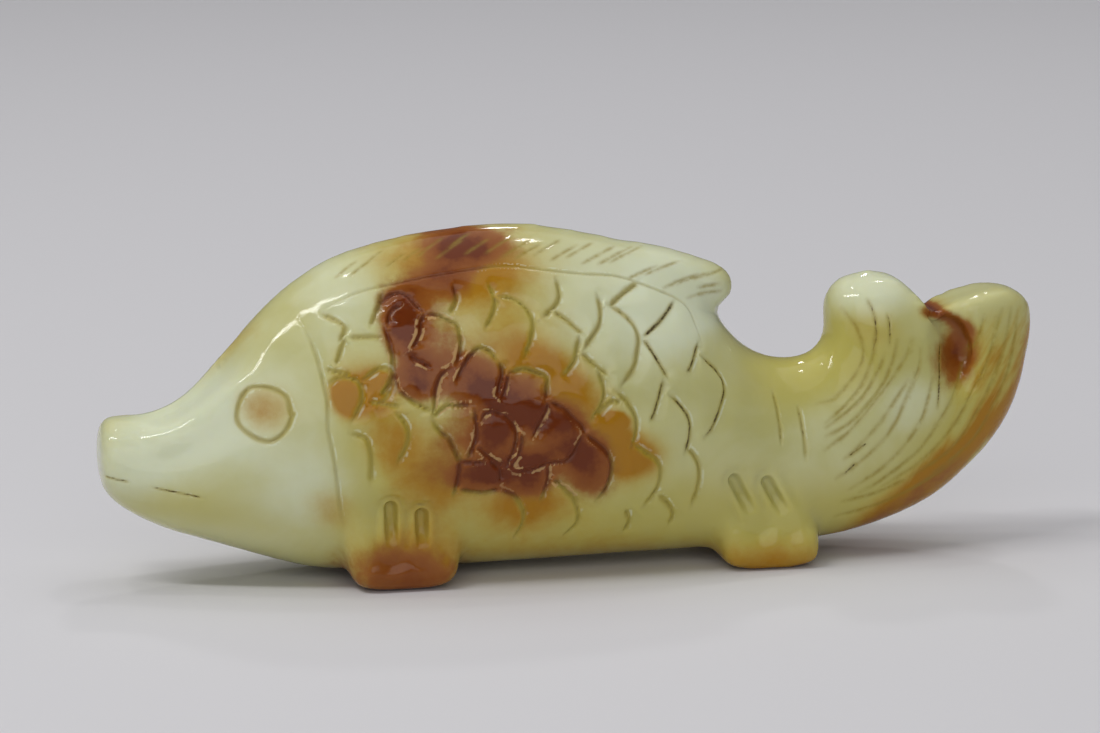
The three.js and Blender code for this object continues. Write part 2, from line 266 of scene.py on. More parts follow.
# %% Sink the grooves
NEAR, FAR, BOTH = -1, 1, 0
GROOVE_HALF, GROOVE_DEPTH, GROOVE_WALL = 0.8, 0.95, 0.5
GROOVES = [
    ((-19.9, 8.4), (-19.8, 3.6)),
    ((-16.9, 7.6), (-16.8, 3.4)),
    ((14.4, 9.4), (16.9, 4.8)),
    ((17.9, 8.9), (20.3, 4.6)),
]
DEEP_SHARE, END_SHARE = 0.3, 0.85
LEVEL_INNER, LEVEL_OUTER = 1.0, 1.7
PLANE_INNER, PLANE_OUTER = 1.4, 1.8
FOOT_TOP, FOOT_FACING = 12, 0.25
TOE_TOP, TOE_REACH, TOE_SHARE, TOE_ROUNDS = 8, 2.4, 0.8, 14


def from_groove(groove, v):
    start, end = Vector(groove[0]), Vector(groove[1])
    here = side_on(v)
    share = max(0.0, min(1.0, (here - start).dot(end - start) / (end - start).length_squared))
    return (here - start - share * (end - start)).length, share


def foot_faces(low, high):
    found = []
    for f in stone.faces:
        v = f.verts[0]
        if v.co.z < FOOT_TOP * MM and abs(f.normal.y) > FOOT_FACING:
            if any(low < from_groove(g, v)[0] < high for g in GROOVES):
                found.append(f)
    return found


def outer_foot(side):
    low = [v for v in stone.verts if v.co.z < FOOT_TOP * MM]
    return [v for v in low if v.co.y * side > 2 * MM and v.normal.y * side > FLANK_FACING]


def plane_through(verts):
    places = np.array([(v.co.x, v.co.z, 1) for v in verts])
    return np.linalg.lstsq(places, np.array([v.co.y for v in verts]), rcond=None)[0]


def sink(groove, side):
    reach = [(v, *from_groove(groove, v)) for v in outer_foot(side)]
    plane = plane_through([v for v, d, _ in reach if PLANE_INNER < d < PLANE_OUTER])
    for v, d, share in reach:
        if d < LEVEL_OUTER:
            level = plane[0] * v.co.x + plane[1] * v.co.z + plane[2]
            depth = GROOVE_DEPTH * (1 - smooth_step(DEEP_SHARE, END_SHARE, share))
            wall = smooth_step(-GROOVE_HALF, GROOVE_WALL - GROOVE_HALF, -d)
            target = level - side * depth * MM * wall
            v.co.y += (target - v.co.y) * (1 - smooth_step(LEVEL_INNER, LEVEL_OUTER, d))


def on_toe(v):
    places = [from_groove(g, v) for g in GROOVES]
    below_groove = any(d < TOE_REACH and share > TOE_SHARE for d, share in places)
    return below_groove and v.co.z < TOE_TOP * MM and abs(v.normal.y) > FLANK_FACING


divide(foot_faces(-1.0, 1.9))
divide(foot_faces(0.2, 1.3))
for groove in GROOVES:
    for side in (NEAR, FAR):
        sink(groove, side)
toes = [v for v in stone.verts if on_toe(v)]
for _ in range(TOE_ROUNDS):
    smooth_all(toes, PULL)
print(len(GROOVES), "grooves on each side, depth", GROOVE_DEPTH, "mm")

# %% [markdown]
# ## Drawing the cuts
# The carver draws every line on the flank before cutting. We do the same: each stroke is a few
# points, along the fish and up from the table, in millimetres. A smooth curve through the points
# is laid on the skin by shooting rays at the flank from the side. Both flanks get the same
# drawing. Each family of strokes has its own wheel: half the width of its cut, its depth, how much
# old dirt sits in it, how far the stone is stepped down beside it, and how strongly it is stained.

# %% Lay the strokes on both flanks
THROW = 50
TAPER = 5
skin = BVHTree.FromBMesh(stone)
cuts = []


def incise(
    family, strokes, half_width, depth, dirt=0.0, fine=False, relief=0.0, ends=0.35, stain=1.0
):
    wheel = dict(
        family=family, half=half_width, depth=depth, dirt=dirt, fine=fine, relief=relief, stain=stain
    )
    for stroke in strokes:
        curve = smooth_curve(stroke)
        for side in (NEAR, FAR):
            for i, p in enumerate(curve):
                share = i / (len(curve) - 1)
                start = Vector((p.x * MM, side * THROW * MM, p.y * MM))
                hit = skin.ray_cast(start, Vector((0, -side, 0)), THROW * MM)[0]
                taper = min(1, TAPER * share + ends, TAPER * (1 - share) + ends)
                if hit is not None:
                    cuts.append(dict(wheel, place=hit, taper=taper))
    print(family, "-", len(strokes), "strokes on each flank")


# %% [markdown]
# ## Scales
# The scales are rows of rounded strokes that open to the head, cut freehand, so no two are alike
# and a repeated pattern would look stamped. The strokes below are drawn one by one, from the gill
# to the tail. The stone is stepped down on the tail side of each stroke, so one scale seems to lie
# over the next. The cuts in the rusty area are deeper and their edges crumbled.

# %% Scales on the shoulder
incise("shoulder scales", [
    [(-26, 27), (-24, 26), (-24.5, 24.5)],
    [(-23.5, 25), (-20.5, 25)],
    [(-24, 25), (-25, 22.5)],
    [(-26, 22), (-23.5, 21.5)],
    [(-20, 29), (-21.5, 26)],
    [(-22, 19), (-19, 18.5)],
    [(-19.5, 18), (-18.5, 16.5), (-18.5, 15), (-19.5, 13)],
    [(-24, 16), (-22.5, 15.5), (-22, 14), (-22, 12), (-22, 11)],
    [(-26, 20.5), (-24.8, 21.3), (-23.1, 21), (-22.7, 19.3), (-23.7, 17.2)],
    [(-22.7, 21), (-21, 22.1), (-19.8, 21.7), (-20.1, 19.9), (-21.3, 18.4)],
], half_width=0.31, depth=0.14, dirt=0.12, relief=0.26, stain=0.7)

# %% Scales in the rusty skin
incise("rusty scales", [
    [(-21, 26.8), (-20.3, 28), (-19.4, 28.7), (-18.4, 28.9), (-17.6, 28.5), (-17, 27.8), (-16.2, 27.1)],
    [(-19.8, 26), (-19.7, 26.8), (-19.3, 27.4), (-18.4, 27.9)],
    [(-16.2, 27.1), (-16.7, 26.2), (-16.8, 25.4), (-17.6, 24)],
    [(-20.2, 26), (-19.8, 24.5), (-19.6, 23.2), (-19.6, 21.8), (-19.2, 20)],
    [(-19.6, 21.8), (-20, 20.8), (-20.9, 19.6)],
    [(-16.2, 27), (-15.1, 26.9), (-14, 26.4), (-13.3, 26), (-13, 25.2), (-13, 24.2), (-13.3, 23),
     (-13.6, 22.3)],
    [(-18, 23.2), (-17, 22.7), (-15.9, 22.1)],
    [(-19.2, 20), (-18.3, 19.3), (-17.3, 18.6), (-16.1, 18)],
    [(-14.2, 22), (-15.1, 21.3), (-15.6, 20.1), (-15.8, 18.6), (-16.1, 17.5)],
    [(-13.6, 20.8), (-13, 22), (-12.2, 23.1), (-11.2, 23.8), (-10.3, 23.5), (-9.5, 22.6)],
    [(-9.4, 22.4), (-9.1, 21.6), (-9.4, 20.5), (-9.7, 19.4)],
    [(-8.5, 21.4), (-7.1, 21.7), (-6, 21.4), (-4.8, 20.8), (-4.8, 19.8), (-5, 18.6)],
    [(-8.6, 21.2), (-8.8, 20.2), (-9.3, 19)],
    [(-4.7, 18.6), (-5, 17.5), (-5.8, 16), (-6.3, 15.2)],
    [(-16, 17.4), (-15.4, 18), (-14.6, 18.5), (-13.6, 18.5), (-12.2, 18.5)],
    [(-12, 18), (-11.8, 16.4), (-11.9, 15), (-12.3, 14), (-12.7, 13.2)],
    [(-16.1, 17.3), (-15.5, 16.2), (-14.5, 15.3), (-14, 14.3), (-13.5, 13.2), (-12.8, 12.9),
     (-11.5, 12.8), (-10.7, 13.2)],
    [(-11.5, 16.8), (-10.9, 17.6), (-10, 17.7), (-8.9, 17.2), (-8.2, 16.4), (-7.9, 15.5), (-8.1, 14.2),
     (-8.6, 12.9), (-9, 12.3)],
    [(-11.8, 14.4), (-10.7, 13.4), (-9.6, 12.6), (-9, 12.3)],
    [(-7.4, 15.4), (-7.4, 14.4), (-7.7, 13.3), (-8.4, 12.2)],
    [(-4.6, 18.5), (-3.3, 17.8), (-2.4, 16.9), (-1.4, 15.9), (-1.1, 15.1)],
    [(-1.2, 15.1), (-1.9, 14), (-2.3, 13.2), (-3.1, 12.6), (-4.5, 12.4), (-5.8, 12), (-7.1, 11.7),
     (-8.1, 11.9)],
    [(-4.8, 12.3), (-4.7, 11.2), (-5, 9.6), (-5.3, 8.6)],
    [(-1.1, 15.2), (0, 14.3), (1.1, 13.2), (1.6, 12), (1.5, 10.6), (1, 9.2), (0.2, 8.2)],
    [(-4.1, 10.7), (-3.1, 9.8), (-2.2, 9), (-1.6, 8)],
    [(-13.5, 13.1), (-13.5, 11.7), (-14, 9.4)],
    [(-10.5, 12.9), (-9.6, 12), (-9.4, 10.8)],
    [(-13.3, 10.1), (-12, 9.8), (-10.8, 9.7), (-9.5, 10)],
], half_width=0.27, depth=0.22, dirt=0.3, relief=0.28, stain=0.9)

# %% Scales on the pale flank
incise("pale scales", [
    [(-13.2, 29.5), (-13.1, 28.2), (-13.8, 27)],
    [(-9.8, 29.6), (-9.3, 28.2), (-9.6, 27), (-10.5, 25.6)],
    [(-9.2, 28.4), (-7.8, 28.2), (-6.7, 27.6), (-6, 26.7), (-5.8, 25.7), (-6.2, 24.3), (-7, 22.6)],
    [(-3, 29.8), (-2.9, 28.2), (-3.5, 27.3), (-4.7, 26.4)],
    [(-3.7, 26.9), (-2.5, 26.1), (-1.5, 25.2), (-0.8, 24.6)],
    [(0.9, 28.2), (1.1, 26.8), (0.8, 25.4), (-0.2, 24.2), (-1, 23.2)],
    [(-1.3, 24.5), (-1.6, 23.5), (-2, 22.2), (-3.2, 20.9)],
    [(-1.2, 22.9), (0, 21.8), (1.4, 20.7)],
    [(0.3, 21.4), (0.8, 19.8), (0.8, 18.7), (0.3, 17.6), (-0.5, 16.4)],
    [(0.1, 16.9), (0.8, 17.7), (1.6, 18.2), (2.6, 18)],
    [(5.5, 29), (3.5, 28), (2, 27)],
    [(1.8, 27.2), (3.2, 26.4), (4.3, 25.2), (4.7, 24), (4.5, 22.8), (4, 21.3), (2.5, 19.5)],
    [(2, 19.2), (3.2, 18), (4, 16.5), (4, 15), (3.5, 13.5)],
    [(3.6, 14), (5, 13), (6.2, 12), (6.6, 11), (6.4, 9.4), (5.6, 8), (5, 7.2)],
    [(9, 13.5), (10.2, 12), (10.6, 10.5), (10.5, 9), (10, 7)],
    [(6.5, 8.4), (7.6, 7.4), (8.2, 6.2), (8, 5)],
    [(3.3, 7), (3.8, 5.8), (3.5, 4.5)],
    [(-9.5, 10), (-8, 9.2), (-7, 7.6), (-6.9, 6.2), (-7.5, 4.5)],
    [(-3.4, 9.9), (-2.2, 8.6), (-1.5, 7.2), (-1.5, 5.8), (-2.5, 4.5)],
], half_width=0.31, depth=0.14, dirt=0.15, relief=0.28, stain=0.75)

# %% Scales with dark dirt left in them
incise("dark scales", [
    [(9, 27), (7.2, 25.4), (5.2, 24)],
    [(5.2, 24), (6.4, 22), (7.5, 20)],
    [(7, 20), (6, 17), (5.5, 16)],
    [(7.5, 18.5), (8.5, 17.5), (9.5, 16), (9.5, 14), (9, 12.5)],
    [(11, 23), (10, 21), (9.5, 20.5)],
    [(11, 22), (13, 20), (13.5, 18.5), (13, 17), (12, 15), (11, 14)],
], half_width=0.27, depth=0.15, dirt=0.75, relief=0.26, stain=0.7)

# %% [markdown]
# ## Gill, mouth and eye
# The gill is one long groove with the cheek standing proud of it. The mouth is a thin line with a
# gap in it. The eye was made with the end of a tube drill, which leaves a ring and an untouched
# disc.

# %% Lines of the head
incise("gill", [
    [(-28, 26.5), (-27, 24), (-26.5, 22), (-26, 19), (-26, 16.5), (-25.5, 13.5), (-25, 9.5),
     (-24.5, 6.5)],
], half_width=0.24, depth=0.1, dirt=0.1, relief=0.2, stain=0.4)
incise("lips", [
    [(-47, 11.5), (-44.5, 11)],
    [(-42.5, 10.5), (-40, 10), (-37.5, 9.5)],
], half_width=0.15, depth=0.12, dirt=0.75, stain=0.6)

EYE_X, EYE_Z, EYE_RING, EYE_SIDES = -31.8, 17.8, 2.5, 9
UNEVEN_IN, UNEVEN_OUT = 0.98, 1.05
ring = []
for k in range(EYE_SIDES + 1):
    turn = math.tau * k / EYE_SIDES
    reach = EYE_RING * (UNEVEN_OUT if k % 2 else UNEVEN_IN)
    ring.append((EYE_X + reach * math.cos(turn), EYE_Z + reach * math.sin(turn)))
incise("eye ring", [ring], half_width=0.28, depth=0.2, dirt=0.3, stain=0.7, ends=1)

# %% [markdown]
# ## Back fin
# One line parts the fin from the back. Above it about two dozen short strokes slant up to the
# ridge and lie flatter towards the rear tip. They follow one rule, so a loop draws them, and a
# seeded random draw gives each its own length and slip, as a hand would.

# %% Fin line and fin rays
hand = random.Random(7)
FIN_LINE = [(-25.5, 27.5), (-22, 29), (-17, 30), (-13.5, 30.5), (-8.5, 31), (-4, 30.5), (-0.5, 30),
            (3.5, 29.5), (7.5, 28), (9.5, 27), (10.5, 26), (11, 24.5), (11.5, 23)]
incise("fin line", [FIN_LINE], half_width=0.22, depth=0.13, dirt=0.3, relief=0.12, stain=0.45)

FIN_RAYS = 23
FIRST_RAY, LAST_RAY = -24, 11
RAY_GAP, SLIP = 1.3, 0.3
SHORTEST, GROWTH = 2.0, 2.0
STEEPEST, FLATTENING = 0.62, 0.47
FIN_LINE_BEND = 9.5
fin_rays = []
for k in range(FIN_RAYS):
    share = k / (FIN_RAYS - 1)
    foot_x = FIRST_RAY + (LAST_RAY - FIRST_RAY) * share + hand.uniform(-SLIP, SLIP)
    line_z = next(z for x, z in FIN_LINE[1:] if x >= min(foot_x, FIN_LINE_BEND))
    foot_z = line_z + RAY_GAP + hand.uniform(-SLIP, SLIP)
    run = SHORTEST + GROWTH * share + hand.uniform(-0.4, 0.5)
    rise = run * (STEEPEST - FLATTENING * share)
    middle = (foot_x + run / 2, foot_z + rise * 0.55)
    fin_rays.append([(foot_x, foot_z), middle, (foot_x + run, foot_z + rise)])
fin_rays += [[(10.5, 27), (12.5, 27.2), (14.5, 27.2)], [(11.8, 27.8), (14.3, 27.9)]]
incise("fin rays", fin_rays, half_width=0.14, depth=0.05, dirt=0.42, fine=True)

# %% [markdown]
# ## Tail
# Two short upright strokes mark where the tail begins. From there long fine lines fan out. The
# first few turn up into the round lobe, the others sweep along the long lobe to its tip. The
# lines are drawn one by one because they bend differently as they pass the hollow.

# %% Tail lines
incise("tail root", [
    [(19, 17.5), (19.3, 15), (19.4, 12.5)],
    [(21.5, 16), (21.8, 13.5), (22, 10.8)],
], half_width=0.24, depth=0.14, dirt=0.5, stain=0.6)

incise("tail lines", [
    [(23.5, 16), (25.5, 16.5), (27.5, 18.5), (28.5, 20.5), (28, 23), (26.7, 25)],
    [(24.3, 14.2), (26.5, 15.8), (28.2, 17.7), (29.3, 20.2), (29.6, 23)],
    [(24.3, 13.8), (26.7, 15.2), (28.5, 16.8), (29.8, 18.9), (30.6, 20.7)],
    [(24.2, 12.9), (26.7, 14), (28.6, 15.6), (30.4, 17.8), (31.5, 20.5), (31.8, 22)],
    [(24, 11.6), (26.6, 13.2), (28.7, 15.2), (30.5, 17.2), (32.5, 20), (33.5, 22)],
    [(26, 10.6), (27.5, 11.6), (30, 14), (31.5, 16), (33, 18)],
    [(25.2, 8.7), (27.5, 10), (30, 12), (31.5, 13.8), (32.6, 16), (34, 19), (34.3, 21)],
    [(26.6, 7.4), (30, 9.3), (32.6, 11.6), (34.3, 14), (35, 16), (35.5, 18)],
    [(27.8, 7), (30.2, 8.2), (34, 10.8), (36.3, 13.8), (38, 16.6), (39.8, 20)],
    [(30.2, 7.4), (34.5, 9.8), (37.5, 12.7), (39.6, 16), (41.4, 19.5), (42.4, 23), (43, 24.5)],
    [(33, 8), (37.5, 10.5), (40.3, 14.2), (42.2, 18), (43.4, 21.5), (44, 24.5)],
    [(35.6, 8), (39.8, 11), (42.2, 14.7), (43.8, 18.5), (44.5, 22), (44.7, 24)],
    [(26, 6.2), (29.5, 6.8), (33, 8)],
    [(25.5, 4.6), (30, 5.5), (34.5, 7.2), (38.5, 9.4)],
    [(39.5, 20), (40.5, 22), (41, 24)],
], half_width=0.17, depth=0.045, dirt=0.1, fine=True)
incise("dark tail lines", [
    [(29, 26), (29.5, 24.8), (29.7, 22.5), (29.4, 21)],
    [(30.9, 24.6), (31.1, 23), (31, 21.5)],
    [(36.7, 21.5), (36.5, 20), (36.3, 18), (36, 15)],
    [(27.3, 10.1), (26, 9)],
    [(28.5, 12), (26.5, 10.8)],
], half_width=0.16, depth=0.08, dirt=0.75, fine=True)
print(len(cuts), "points on all the drawn curves")

# %% [markdown]
# ## A finer net along the strokes
# The even net is too coarse for a cut half a millimetre wide. A finer net everywhere would give
# a million faces, so only a strip along each stroke is divided, and its middle once more.

# %% Divide the net near the strokes
def tree_of(points):
    tree = KDTree(len(points))
    for i, p in enumerate(points):
        tree.insert(p, i)
    tree.balance()
    return tree


def divide_near(points, reach):
    tree = tree_of(points)
    near = [f for f in stone.faces if tree.find(f.calc_center_median())[2] < reach * MM]
    divide(near)
    print("divided", len(near), "faces, now", len(stone.faces))


STRIP, MIDDLE = 0.75, 0.42
for reach in (STRIP, MIDDLE):
    divide_near([c["place"] for c in cuts], reach)

# %% [markdown]
# ## Cutting
# A wheel leaves a V with a soft bottom. Every corner looks up the nearest stroke of each family
# and is pushed straight into the stone by that profile. Where a scale has a step, the skin on the
# tail side of its stroke goes down too. A little noise in depth and width breaks the edge, most of
# all in the rusty skin, which is softer and chips. While cutting, each corner also notes how deep
# in a cut or a fine line it is, how dirty that cut is, whether it lies on a chipped edge, and how
# near it lies to the tail side of a cut, where the finish paints a thin glint as a painted highlight.
# The finish reads these notes later. The rusty skin is softest in a slanting oval on the flank and
# in a small one on the shoulder.

# %% Where the rusty skin is soft
def soft_skin(p):
    x, z = p.x / MM, p.z / MM
    middle = math.exp(-(((x + 7) / 9.5) ** 2 + ((z - 14.5 + 0.5 * (x + 7)) / 7) ** 2))
    shoulder = math.exp(-(((x + 16.5) / 4) ** 2 + ((z - 24) / 5) ** 2))
    return min(1, 1.3 * middle + 1.2 * shoulder)


print("the rusty skin is soft at", sum(soft_skin(v.co) > 0.5 for v in stone.verts), "corners")

# %% Push the cuts into the stone
REACH, STEP_RUN = 1.7, 1.1
RIPPLE, GRIT, CHIP = 900, 2600, 420
WIDTH_RIPPLE, WIDTH_GRIT, DEPTH_RIPPLE = 0.22, 0.3, 0.25
STAIN_WIDTH, DIRT_WIDTH = 1.4, 0.8
NEAR_CHIP, FAR_CHIP, CHIP_WIDTH, CHIP_HEIGHT = 1.3, 1.15, 0.85, 0.12
# The painted glint lies this far past a cut's tail side and is this wide, in half widths of the cut.
GLINT_PLACE, GLINT_WIDTH = 1.4, 0.7
cut_tree = tree_of([c["place"] for c in cuts])
NOTES = ("cut", "fine_line", "grime", "chalk", "edge")
notes = {n: stone.verts.layers.float.new(n) for n in NOTES}


def bell(distance, width):
    return math.exp(-((distance / width) ** 2))


def nearest_of_each_family(near):
    best = {}
    for place, index, distance in near:
        c = cuts[index]
        if c["family"] not in best or distance < best[c["family"]][0]:
            best[c["family"]] = (distance, place, c)
    return best.values()


def chip_shift(d, half, across, chip):
    if chip > 0:
        return d - FAR_CHIP * half if across > 0 else 2 * half
    return d - NEAR_CHIP * half if across < 0 else 2 * half


moves = []
for v in stone.verts:
    near = cut_tree.find_range(v.co, REACH * MM)
    if not near:
        continue
    depth = slope = 0
    found = dict.fromkeys(NOTES, 0)
    ripple, grit, chip = (noise.noise(v.co * size) for size in (RIPPLE, GRIT, CHIP))
    soft = soft_skin(v.co)
    for distance, place, c in nearest_of_each_family(near):
        d = distance / MM
        across = v.co.x - place.x
        half = c["half"] * (1 + WIDTH_RIPPLE * ripple + WIDTH_GRIT * soft * grit)
        bite = smooth_step(0, 1, 1 - d / half)
        depth = max(depth, c["depth"] * c["taper"] * (1 + DEPTH_RIPPLE * ripple) * bite)
        if c["relief"]:
            tail_side = 0.5 + 0.5 * across / max(distance, 0.02 * MM)
            slope = max(slope, c["relief"] * c["taper"] * tail_side * bell(d, STEP_RUN))
        found["grime"] = max(found["grime"], c["dirt"] * c["taper"] * bell(d, DIRT_WIDTH * half))
        halo = bell(d, STAIN_WIDTH * half) * c["taper"]
        if c["fine"]:
            found["fine_line"] = max(found["fine_line"], halo)
        else:
            found["cut"] = max(found["cut"], halo * c["stain"])
            shift = chip_shift(d, half, across, chip)
            found["chalk"] = max(found["chalk"], soft * bell(shift, CHIP_WIDTH * half))
            # On the tail side, note a painted highlight: a thin glint just past the cut.
            if across > 0:
                glint = c["taper"] * bell(d - GLINT_PLACE * half, GLINT_WIDTH * half)
                found["edge"] = max(found["edge"], glint)
    moves.append((v, v.normal * (depth + slope + CHIP_HEIGHT * found["chalk"] * grit) * MM))
    for name, amount in found.items():
        v[notes[name]] = amount
for v, move in moves:
    v.co -= move
print("cut", len(moves), "corners, deepest", round(max(m.length for _, m in moves) / MM, 2), "mm")

# %% Back to an object
bmesh.ops.triangulate(stone, faces=[f for f in stone.faces if len(f.verts) > 4])
for f in stone.faces:
    f.smooth = True
stone.to_mesh(fish.data)
stone.free()
fish.data.update()
triangles = sum(len(f.vertices) - 2 for f in fish.data.polygons)
print("carved fish:", triangles, "triangles")

# %% [markdown]
# ## Where the stone changes colour, and where shade and sheen are painted
# The pebble's rusty skin was left where it looked best. Its rusty patches are part of the stone and
# not paint, so they have no outline. A few ovals are painted light: the amber along the belly is
# painted shade and reflection, the low olive band along the trunk is partly painted shade, and one
# milky oval on the upper trunk is a painted reflection. Every patch is put down as a soft oval: its
# place along the fish and up from the table, its two half sizes, its turn in degrees, its strength,
# and the flank it shows on. The ovals of one colour are added up at every corner and noted on the
# mesh. The finish will tear their rims with noise.

# %% Ovals of colour
patches = {
    "russet": [
        (-10.8, 32.9, 4.2, 1.5, -3, 0.85, BOTH),
        (-12.4, 31.6, 2.6, 2.0, 0, 0.5, BOTH),
        (-15.2, 29.4, 3.4, 1.8, 8, 0.7, NEAR),
        (-18.4, 26.2, 1.9, 2.6, 0, 1.0, NEAR),
        (-15.2, 25.0, 2.4, 2.2, 0, 0.42, NEAR),
        (-16.5, 22.8, 2.4, 0.9, -20, 0.4, NEAR),
        (-17.6, 20.8, 2.2, 1.7, -20, 0.95, NEAR),
        (-12.2, 20.8, 2.9, 2.4, 0, 0.95, NEAR),
        (-6.8, 19.6, 2.6, 1.9, 0, 0.5, NEAR),
        (-6.6, 17.4, 2.4, 1.3, 0, 0.6, NEAR),
        (-10.0, 15.4, 2.1, 2.6, 0, 1.05, NEAR),
        (-13.8, 16.0, 1.8, 2.2, 0, 0.4, NEAR),
        (-4.2, 15.4, 3.2, 2.4, -20, 0.85, NEAR),
        (-2.6, 17.2, 1.6, 1.2, -35, 0.3, NEAR),
        (-6.6, 12.8, 2.4, 1.0, 0, 0.7, NEAR),
        (-0.8, 11.9, 2.4, 3.0, 15, 1.0, NEAR),
        (-11.6, 11.4, 2.4, 1.5, 0, 0.95, NEAR),
        (-7.0, 10.9, 2.8, 1.7, 0, 1.0, NEAR),
        (-15.6, 12.8, 2.4, 2.2, 0, 0.42, NEAR),
        (-18.5, 1.6, 5.5, 3.0, 0, 0.75, BOTH),
        (32.5, 5.0, 9.0, 1.2, 33, 0.4, BOTH),
        (39.0, 20.8, 1.2, 2.6, -6, 0.45, BOTH),
        (37.6, 19.4, 2.5, 2.6, -8, 0.42, BOTH),
        (37.9, 23.5, 1.9, 0.6, -28, 0.5, BOTH),
        (35.9, 24.3, 1.7, 0.6, -14, 0.7, BOTH),
        (-9.4, 19.2, 2.2, 1.6, 0, 0.55, NEAR),
        (-6.0, 20.0, 8.5, 5.0, 15, 0.85, FAR),
        (4.0, 14.0, 6.0, 3.5, 40, 0.8, FAR),
        (-10.0, 27.0, 4.0, 3.0, 0, 0.6, FAR),
    ],
    "amber_and_shade": [
        (-12.5, 31.5, 8.0, 3.4, 0, 0.9, BOTH),
        (-9.0, 26.5, 6.5, 4.5, 0, 0.35, NEAR),
        (-9.0, 15.5, 11.0, 8.0, -30, 0.6, NEAR),
        (-4.0, 20.5, 5.0, 3.0, -30, 0.7, NEAR),
        (3.5, 12.6, 3.4, 2.4, 0, 1.0, NEAR),
        (1.5, 15.0, 2.5, 2.5, 0, 0.5, NEAR),
        (-6.5, 8.0, 4.5, 2.4, 0, 0.6, NEAR),
        (-23.9, 19.4, 1.5, 1.7, 0, 1.1, NEAR),
        (-21.1, 20.3, 1.4, 1.5, 0, 1.1, NEAR),
        (-23.0, 20.5, 3.0, 3.5, 0, 0.5, NEAR),
        (-20.5, 15.5, 2.6, 3.0, 0, 0.5, NEAR),
        (-18.5, 2.5, 6.5, 4.0, 0, 0.9, BOTH),
        (-16.5, 11.0, 4.0, 4.0, 0, 0.6, NEAR),
        (-31.8, 27.8, 4.6, 1.0, 52, 0.85, BOTH),
        (-25.5, 8.5, 2.5, 2.0, -30, 0.6, NEAR),
        (-31.7, 18.2, 2.6, 2.2, 0, 0.7, BOTH),
        (35.5, 7.4, 13.0, 2.6, 38, 1.15, BOTH),
        # Painted shade and painted reflection: amber along the belly between the feet.
        (0.0, 2.0, 13.0, 3.0, 0, 0.5, BOTH),
        (45.8, 17.5, 2.0, 7.0, -12, 0.9, BOTH),
        (41.5, 18.5, 2.0, 5.5, -12, 0.6, BOTH),
        (43.4, 20.5, 0.8, 4.5, -14, 0.15, BOTH),
        (-35.0, 23.0, 6.0, 1.4, 42, 0.42, BOTH),
        (38.6, 20.5, 2.0, 4.0, -8, 0.5, BOTH),
        (29.5, 23.0, 3.0, 2.4, 10, 0.4, BOTH),
        (19.0, 0.2, 6.5, 3.2, 0, 0.8, BOTH),
        (1.8, 16.3, 1.3, 0.6, 0, 1.3, NEAR),
        (36.0, 24.8, 1.6, 0.9, 20, 0.9, BOTH),
        (0.0, 16.0, 13.0, 8.0, 25, 0.75, FAR),
    ],
    "veined": [
        (42.0, 16.0, 5.0, 12.0, -25, 0.75, BOTH),
    ],
    "olive_and_shade": [
        (21.5, 19.5, 6.5, 4.0, 0, 1.0, BOTH),
        (29.0, 22.0, 5.0, 4.0, 0, 0.7, BOTH),
        (42.0, 18.0, 5.0, 9.0, -20, 0.8, BOTH),
        (36.0, 9.0, 12.0, 5.0, 38, 0.6, BOTH),
        (-41.0, 9.0, 10.0, 2.2, -12, 0.6, BOTH),
        # Painted shade, partly real: the low band along the trunk is yellower, partly the stone's own
        # tone and partly the look of the shaded lower flank.
        (6.0, 4.5, 26.0, 6.0, 0, 1.0, BOTH),
        (-27.0, 27.5, 5.0, 2.5, 35, 0.4, BOTH),
        (-21.0, 15.0, 4.5, 9.0, 0, 0.7, BOTH),
        (20.0, 2.5, 8.0, 4.0, 0, 0.5, BOTH),
        (-8.0, 25.5, 5.0, 4.0, 0, 0.6, BOTH),
        (-31.8, 17.8, 3.0, 3.0, 0, 1.2, BOTH),
    ],
    "milk_and_sheen": [
        (-28.0, 11.0, 4.5, 4.5, 0, 0.75, BOTH),
        (-45.0, 12.0, 4.0, 4.5, 0, 0.45, BOTH),
        # Painted reflection: this oval lightens the top of the trunk where a soft light is mirrored.
        (8.5, 27.0, 4.5, 4.0, 0, 0.7, BOTH),
        (33.5, 15.5, 4.0, 3.5, 30, 0.6, BOTH),
        (-37.0, 16.5, 9.0, 4.5, 25, 1.1, BOTH),
        (4.0, 27.0, 10.0, 8.0, 0, 0.7, BOTH),
        (30.0, 27.0, 5.0, 3.0, 0, 0.9, BOTH),
        (12.5, 26.3, 3.0, 2.0, 0, 0.7, BOTH),
        (-24.0, 29.0, 5.0, 5.0, 0, 0.6, BOTH),
    ],
}
print("ovals of each colour:", {colour: len(ovals) for colour, ovals in patches.items()})

# %% Note the ovals on the mesh
corner_count = len(fish.data.vertices)
corners = np.empty(corner_count * 3)
fish.data.vertices.foreach_get("co", corners)
corners = corners.reshape(-1, 3) / MM
for colour, ovals in patches.items():
    amount = np.zeros(corner_count)
    for x, z, long_half, short_half, turn, strength, flank in ovals:
        c, s = math.cos(math.radians(turn)), math.sin(math.radians(turn))
        along = ((corners[:, 0] - x) * c + (corners[:, 2] - z) * s) / long_half
        across = ((corners[:, 2] - z) * c - (corners[:, 0] - x) * s) / short_half
        seen = 1.0 if flank == BOTH else np.clip(0.5 + flank * corners[:, 1] / 4, 0, 1)
        amount += strength * seen * np.exp(-0.8 * (along**2 + across**2) ** 1.3)
    layer = fish.data.attributes.new(colour, "FLOAT", "POINT")
    layer.data.foreach_set("value", np.clip(amount, 0, 1.5).astype(np.float32))
    print(colour, "covers", round(100 * float(np.mean(amount > 0.5))), "% of the corners")

